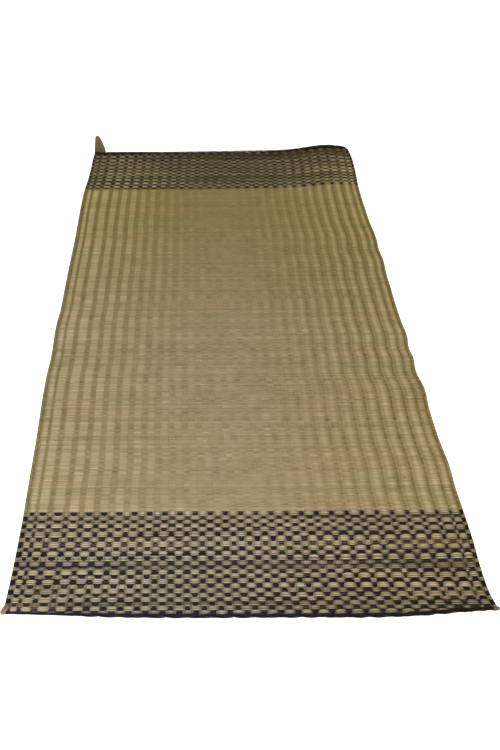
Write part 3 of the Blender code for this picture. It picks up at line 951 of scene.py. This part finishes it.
def makeBand(end, kind, seed):
    # A reed's height follows a hump on each rib, up to the crest where it passes over and down to the
    # floor side where it passes under. Its bundle is drawn in and shifted at each crossing, towards the
    # row it shares its colour with, and spreads to the full row on the rib.
    look = bundleLook[kind]
    natural = kind == "natural"
    source = np.random.default_rng(seed)
    steps = bandLook["stepsPerRib"]
    place = np.arange(steps // 2, ribTotal * steps - steps // 2 + 1) / steps
    rib = ribAt(place)
    lean = ribLean[rib]
    side = ribSide[rib]
    middle, tallness, overEven = rowsAcross(end, place, side)
    rows = len(overEven)
    count = len(place)
    rowShare = np.linspace(0, 1, rows)[:, None]
    over = (ribEven[rib] == overEven[:, None]) == natural
    exponent = np.where(over, look["roundOver"], look["roundUnder"])
    exponent = exponent * (1 + bandLook["leanRound"] * lean)
    exponent = exponent * np.where(over, 1 + look["narrow"] * np.clip(-1.6 * side, 0, 1), 1.0)
    hump = np.sin(np.pi * np.clip(place - rib, 1e-6, 1)) ** exponent
    way = look["way"] * np.where(overEven, 1.0, -1.0)[:, None]
    push = way * tallness * look["push"] * (1 - hump)
    wander = slowNoise(rows, count, 14, bandLook["wander"], seed * 100)
    # Favour says which of a row's two bundles spreads further where they cross.
    favour = look["way"] * slowNoise(rows, count, 9, 0.6, bandLook["favourSeed"][end])
    target = np.where(over, look["over"], look["under"])
    if end == "near":
        # The natural reeds lie flatter and the dyed ones broader towards the near end and the right side.
        early = (1 - rowShare) * (1 + 0.8 * np.clip(-side, 0, 1))
        target = target * np.where(over, 1 + look["early"] * early, 1.0)
    # On the left side the bundle that is over the low ribs spreads out over the edges of the high ones.
    spill = np.where(overEven != natural, 1.0, -1.0)[:, None] * np.clip(side, 0, 1) ** 0.7
    cross = look["cross"] + look["crossSwing"] * favour + look["spill"] * spill
    cross = np.maximum(cross, bandLook["crossLeast"])
    width = (cross + (target - cross) * hump) * tallness
    if end == "far":
        number = np.arange(rows)[:, None]
        stands = sum((number == row) * np.exp(-((shareAt(place) - at) / half) ** 4)
                     for row, at, half in bandLook["standOut"])
        width = width * (1 + look["stand"] * stands)
    goal = np.where(over, ribCrest[rib] - bandLook["reedTall"] - look["low"], bandLook["under"])
    crossLevel = look["crossLevel"] + bandLook["favourLift"] * favour + bandLook["spillLift"] * spill
    level = crossLevel + (goal - crossLevel) * hump

    reeds = bandLook["reeds"]
    shape = (rows, reeds, count)
    offsets = (np.arange(reeds) - 0.5 * (reeds - 1))[:, None]
    jitter = slowNoise(rows * reeds, count, 24, bandLook["jitter"], seed * 1000).reshape(shape)
    thick = source.uniform(*bandLook["thick"], (rows, reeds, 1))
    along = (middle + push + wander)[:, None] + offsets / reeds * width[:, None] + jitter
    bulge = bandLook["crown"] * (0.5 - np.abs(offsets)) * (hump * np.where(over, 1.0, -1.0))[:, None]
    paths = onMat(acrossAt(place, along), along, level[:, None] + bulge)
    halfWide = 0.5 * look["overlap"] / reeds * width[:, None] * thick
    halfTall = bandLook["reedTall"] * (1.2 - 0.2 * hump)[:, None] * thick
    spread = bandLook["toneSpread"][end]
    tone = source.uniform(-spread, spread, (rows, 1, 1))
    tone = tone + source.normal(0, bandLook["reedTone"], (rows, reeds, 1))
    uneven = slowNoise(rows * reeds, count, 14, look["uneven"], seed * 3000)
    tone = look["tone"] + tone + uneven.reshape(shape)
    parts = toneParts(rowShare[:, None], lean, side, over[:, None])
    tone = tone + sum(weight * parts[label] for label, weight in bandTones[f"{end} {kind}"].items())
    own = source.uniform(-0.5, 0.5, (rows, 1, 1)) + source.normal(0, 0.35, (rows, reeds, 1))
    own = own + slowNoise(rows * reeds, count, 30, 0.55, seed * 5000).reshape(shape)
    if natural:
        besideField = -1 if end == "near" else 0
        own[besideField] = bandLook["besideOwn"]
        tone[besideField] += bandLook["besideTone"]
    return makeTubes(f"{end}_band_{kind}_reeds", bandReed if natural else dyedReed, paths, halfWide, halfTall,
                     4, (tone, (1 - hump)[:, None], own))


bandPieces = [makeBand("near", "natural", 7), makeBand("near", "dyed", 8),
              makeBand("far", "natural", 9), makeBand("far", "dyed", 10)]


# Selvedges: each bundle turns round the outer warp and goes back

edgeLook = {
    "turnPitch": 0.0046,
    "reach": 0.0050,         # half width of the turned edge
    "tall": 0.00175,
    "middle": 0.0021,
    "shoulder": 0.0007,      # how much fuller the edge is at its outside
    "stations": 9,
    "turnFrom": math.radians(120),
    "turnTo": math.radians(-118),
    "reedTall": 0.0006,
    "dyedIn": 0.0009,        # the dyed turns lie this much inside the edge
    "wide": 0.54,            # half width of a turn beside the field, in pitches
    "drift": 0.3,            # how far a turn moves along the mat, in pitches
    "unevenAlong": 0.0003,
    "unevenReach": (0.90, 1.06),
    "unevenWide": (0.9, 1.1),
    "bandTone": (0.20, 0.50),
    "left": {"index": 0, "way": -1, "rib": 0, "place": 0.5, "tone": (0.20, 0.46)},
    "right": {"index": 1, "way": 1, "rib": ribTotal - 1, "place": ribTotal - 0.5, "tone": (0.22, 0.48)},
}


def makeSelvedge(name, seed):
    # Each turn is an arc of an ellipse round the edge, from the top over the rim to the underside,
    # and moves a little along while it turns. In the bands a row's bundle turns in the row's own colour.
    source = np.random.default_rng(seed)
    look = edgeLook
    own = look[name]
    rib = own["rib"]
    middles = []
    widths = []
    dyed = []
    for end in ("near", "far"):
        middle, tallness, overEven = rowsAcross(end, np.array([own["place"]]), ribSide[rib:rib + 1])
        for shift in (-0.25, 0.25):
            middles.append(middle[:, 0] + shift * tallness[:, 0])
            widths.append(0.27 * tallness[:, 0])
            dyed.append(overEven != ribEven[rib])
    fieldStop = bands["far"]["start"][own["index"]]
    count = round((fieldStop - fieldFrom) / look["turnPitch"])
    middles.append(fieldFrom + (np.arange(count) + 0.5) * (fieldStop - fieldFrom) / count)
    widths.append(np.full(count, look["wide"] * look["turnPitch"]))
    dyed.append(np.zeros(count, bool))
    middle = np.concatenate(middles)
    total = len(middle)
    middle = middle + source.normal(0, look["unevenAlong"], total)
    isDyed = np.concatenate(dyed)
    inField = (middle > fieldFrom) & (middle < fieldStop)
    middle = middle[:, None]
    turn = np.linspace(look["turnFrom"], look["turnTo"], look["stations"])
    reach = look["reach"] * source.uniform(*look["unevenReach"], total)[:, None]
    inner = outlineAt(middle)[own["index"]] - reach - np.where(isDyed, look["dyedIn"], 0.0)[:, None]
    along = middle + look["turnPitch"] * look["drift"] * (turn / turn[-1])
    across = own["way"] * (inner + (reach - look["reedTall"]) * np.cos(turn))
    height = look["middle"] + (look["tall"] - look["reedTall"]) * np.sin(turn)
    height = height + look["shoulder"] * np.cos(0.5 * turn) ** 2
    paths = onMat(across, along, height)
    halfWide = (np.concatenate(widths) * source.uniform(*look["unevenWide"], total))[:, None]
    tone = np.where(inField, source.uniform(*own["tone"], total), source.uniform(*look["bandTone"], total))
    shade = 0.10 + 0.5 * np.linspace(-1, 1, len(turn)) ** 2
    kinds = (("field", inField, edgeReed), ("natural", ~isDyed & ~inField, edgeReed),
             ("dyed", isDyed, dyedReed))
    return [makeTubes(f"{name}_selvedge_{label}", material, paths[mask], halfWide[mask], look["reedTall"], 6,
                      (tone[mask][:, None], shade, 0.0), turning=True) for label, mask, material in kinds]


edgePieces = makeSelvedge("left", 21) + makeSelvedge("right", 22)


# The twined ends: two strands of dyed reeds wound round each other along each end

twistLook = {
    "segment": 0.0308,       # length of one strand's showing, a pair of ribs
    "steps": 12,
    "reeds": 3,
    "strandShare": 0.24,     # the reeds' distance from their strand's axis, in shares of the depth
    "reedShare": 0.20,
    "floorGap": 0.0004,
    "lapRise": 0.0024,       # how far the twist is raised where it reaches over the last rows
    "farLap": 0.35,
}


def makeTwist(end, seed):
    # A strand's axis is a helix along the end, a half turn a segment, and its reeds lie round that axis.
    look = twistLook
    own = twists[end]
    source = np.random.default_rng(seed)
    left, right = outlineAt(own["endAt"])
    start = -left + own["insets"][0]
    stop = right - own["insets"][1]
    across = np.linspace(start, stop, round((stop - start) / look["segment"] * look["steps"]) + 1)
    outer, depth = twistShape(end, across)
    axis = own["endAt"] + own["inward"] * (0.5 * depth - outer)
    lap = rise(depth - outer, -0.003, 0.006) if end == "near" else look["farLap"]
    base = look["floorGap"] + 0.5 * own["flat"] * depth + look["lapRise"] * lap
    phase = np.pi * (across - start) / look["segment"]
    pale = own["pale"] * rise(across, -0.30, 0.15) * rise(-across, -0.30, 0.12)
    paths = []
    tones = []
    for strand in range(2):
        angle = phase + np.pi * strand
        for reed in range(look["reeds"]):
            turn = 2 * np.pi * reed / look["reeds"] + 0.5 * phase
            sideways = own["turnShare"] * np.cos(angle) + look["strandShare"] * np.cos(turn)
            upwards = own["turnShare"] * np.sin(angle) + look["strandShare"] * np.sin(turn)
            paths.append(onMat(across, axis + depth * sideways, base + own["flat"] * depth * upwards))
            uneven = slowNoise(1, len(across), 30, 0.10, seed * 10 + reed + 3 * strand)[0]
            tones.append(source.uniform(*own["tone"]) + uneven + pale)
    reedSize = look["reedShare"] * depth
    return makeTubes(f"{end}_end_twined_reeds", dyedReed, np.array(paths), reedSize, own["flat"] * reedSize,
                     5, (tones, 0.0, 0.0))


nearTwist = makeTwist("near", 31)
farTwist = makeTwist("far", 32)


# The pale cord beyond the far end

cordLook = {
    "radius": 0.0014, "height": 0.0030, "inset": 0.045, "gap": 0.0003, "ply": 0.00075,
    "turnLength": 0.007, "stations": 600,
}


def makeFarCord(look):
    # Two plies wound round each other along a line beside the far twined end.
    left, right = outlineAt(matSize["length"])
    across = np.linspace(-left + look["inset"], right - look["inset"], look["stations"])
    along = matSize["length"] + twistShape("far", across)[0] + look["radius"] + look["gap"]
    angles = [np.pi * (across - across[0]) / look["turnLength"] + np.pi * ply for ply in range(2)]
    paths = [onMat(across, along + look["ply"] * np.cos(angle), look["height"] + look["ply"] * np.sin(angle))
             for angle in angles]
    return makeTubes("far_end_pale_cord", paleCord, np.array(paths), look["ply"], look["ply"], 6,
                     (0.5, 0.0, 0.0))


farCord = makeFarCord(cordLook)


# The pointed bundle at the far left corner

tongueLook = {
    "base": 0.0405, "tip": 0.0132, "length": 0.0605, "thickness": 0.0028,
    "lean": math.radians(35), "curl": 0.006, "fullness": 1.4, "sway": 0.90,
    "overhang": 0.0008,      # how far its base stands out past the mat's corner
    "seat": 0.0034,          # height of its seat, over the sheet
    "root": 0.0030,          # how far its reeds reach back under the twist
    "gap": 0.0003,
    "reeds": 9, "layers": 2, "stations": 22, "reedTall": 0.0007,
    "uneven": 0.02, "overlap": 0.62, "tone": (0.16, 0.44), "tipTone": 0.95,
}


def makeTongue(look):
    # The blade narrows slowly at first and fast near the tip, mostly from its right side; it leans back
    # and curls upwards with the square of the distance, and each reed keeps its share of the width.
    source = np.random.default_rng(51)
    left = outlineAt(matSize["length"])[0]
    rising = math.sin(look["lean"])
    level = math.cos(look["lean"])
    startAcross = -left - look["overhang"] + 0.5 * look["base"]
    start = onMat(startAcross, matSize["length"], look["seat"] - look["thickness"] * level)
    step = np.linspace(0, 1, look["stations"])
    taper = np.sqrt(np.clip(1 - step ** 8, 0.03, 1))
    paths = []
    halfWide = []
    tones = []
    for layer in range(look["layers"]):
        count = look["reeds"] - layer
        for reed in range(count):
            side = (2 * reed - (count - 1)) / look["reeds"]
            share = (1 - 0.06 * side ** 2 - source.uniform(0, look["uneven"])) * step
            width = look["tip"] + (look["base"] - look["tip"]) * (1 - share ** look["fullness"])
            deep = look["thickness"] * (0.78 - 0.45 * layer) * (1 - 0.35 * share)
            run = look["length"] * share - look["root"] * (1 - share)
            x = start[0] + 0.5 * width * side - 0.5 * look["sway"] * (look["base"] - width)
            y = start[1] + look["gap"] + run * level + (look["thickness"] - deep) * rising
            z = start[2] + run * rising + deep * level + look["curl"] * share ** 2
            paths.append(np.stack([x, y, z], axis=1))
            halfWide.append(look["overlap"] * width / look["reeds"] * taper)
            shaded = 0.30 * (1 - share) ** 5 * (1 - 0.4 * side)
            paler = 0.18 * side ** 2 + look["tipTone"] * share ** 7
            tones.append(source.uniform(*look["tone"]) + paler - shaded)
    return makeTubes("far_left_pointed_bundle", bladeReed, np.array(paths), halfWide, look["reedTall"], 6,
                     (tones, 0.0, 0.0))


tongue = makeTongue(tongueLook)


# Trimmed stubs at the near corners. Their spots are distances out from the corner, along and up.

stubLook = {
    "reeds": 7, "stations": 14, "twist": 1.1, "reedShare": 0.37, "narrow": 0.25, "cut": 0.10,
    "tone": (0.0, 0.35),
    "left": {
        "spots": [(-0.0075, 0.0170, 0.0056), (-0.0030, 0.0080, 0.0056), (0.0022, -0.0010, 0.0052)],
        "index": 0, "way": -1, "radius": 0.0060, "endTone": 0.50,
    },
    "right": {
        "spots": [(-0.0100, 0.0052, 0.0042), (-0.0040, 0.0042, 0.0042), (0.0024, 0.0038, 0.0040)],
        "index": 1, "way": 1, "radius": 0.0042, "endTone": 0.05,
    },
}


def makeStub(name, seed):
    # Seven reeds side by side round one bent line, each cut at its own length.
    source = np.random.default_rng(seed)
    look = stubLook
    own = look[name]
    spots = np.array(own["spots"])
    spots[:, 0] = own["way"] * (outlineAt(0.0)[own["index"]] + spots[:, 0])
    spots[:, 1] -= 0.5 * matSize["length"]
    knots = np.linspace(0, 1, len(spots))
    reedRadius = look["reedShare"] * own["radius"]
    around = look["reeds"] - 1               # the last reed lies in the middle of the others
    paths = []
    tones = []
    for reed in range(look["reeds"]):
        share = np.linspace(0, 1 - source.uniform(0, look["cut"]), look["stations"])
        line = np.stack([smoothTable(share, knots, spots[:, axis]) for axis in range(3)], axis=1)
        away = (0.0 if reed == around else own["radius"] - reedRadius) * (1 - look["narrow"] * share)[:, None]
        way = unit(np.gradient(line, axis=0))
        beside = unit(np.cross(way, [0.0, 0.0, 1.0]))
        turn = (2 * np.pi * reed / around + look["twist"] * share)[:, None]
        paths.append(line + away * (np.cos(turn) * beside + np.sin(turn) * np.cross(beside, way)))
        tones.append(source.uniform(*look["tone"]) + own["endTone"] * share ** 1.5)
    return makeTubes(f"near_{name}_stub", tailReed, np.array(paths), reedRadius, reedRadius, 7,
                     (tones, 0.0, 0.0))


leftStub = makeStub("left", 61)
rightStub = makeStub("right", 62)


# Floor, light and the ground round the mat

def makeStage():
    # A wide pale floor that gives off light of its own.
    mesh = bpy.data.meshes.new("floor")
    half = 9.0
    corners = [(-half, -half, 0), (half, -half, 0), (half, half, 0), (-half, half, 0)]
    mesh.from_pydata(corners, [], [(0, 1, 2, 3)])
    floor = bpy.data.objects.new("floor", mesh)
    mesh.materials.append(startMaterial("pale_floor", {
        "Roughness": 0.9, "Emission Strength": 0.9, "Base Color": (0.93, 0.93, 0.93, 1.0),
        "Emission Color": (1.0, 1.0, 1.0, 1.0),
    })[0])
    bpy.context.scene.collection.objects.link(floor)


def makeLight(name, place, target, size, power, colour):
    # A round lamp at a place, turned so that it looks at its target.
    data = bpy.data.lights.new(name, "AREA")
    data.shape = "DISK"
    data.size = size
    data.energy = power
    data.color = colour
    light = bpy.data.objects.new(name, data)
    direction = Vector(target) - Vector(place)
    light.matrix_world = Matrix.Translation(place) @ direction.to_track_quat("-Z", "Y").to_matrix().to_4x4()
    bpy.context.scene.collection.objects.link(light)


makeStage()
makeLight("front_light", (-0.45, -1.95, 1.9), (-0.05, -0.35, 0.0), 0.8, 38.0, (1.0, 0.98, 0.97))
makeLight("high_light", (0.2, 0.6, 3.2), (0.0, 0.2, 0.0), 2.5, 22.0, (1.0, 0.96, 0.86))
world = bpy.data.worlds.new("studio")
world.use_nodes = True
world.node_tree.nodes["Background"].inputs["Color"].default_value = (1.0, 0.95, 0.86, 1.0)
world.node_tree.nodes["Background"].inputs["Strength"].default_value = 0.32
bpy.context.scene.world = world
bpy.context.scene.view_settings.view_transform = "Standard"
print("stage and lights made")


# Which piece stands for which solid

allPieces = [wovenSheet, *bandPieces, *edgePieces, nearTwist, farTwist, farCord, tongue, leftStub, rightStub]
for piece in allPieces:
    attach(piece, "root")
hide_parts("mat")
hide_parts("end_twist_near")
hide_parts("end_twist_far")
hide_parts("end_cord_far")
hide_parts("corner_tongue_far_left")
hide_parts("corner_tail_near_left")
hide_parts("corner_tail_near_right")
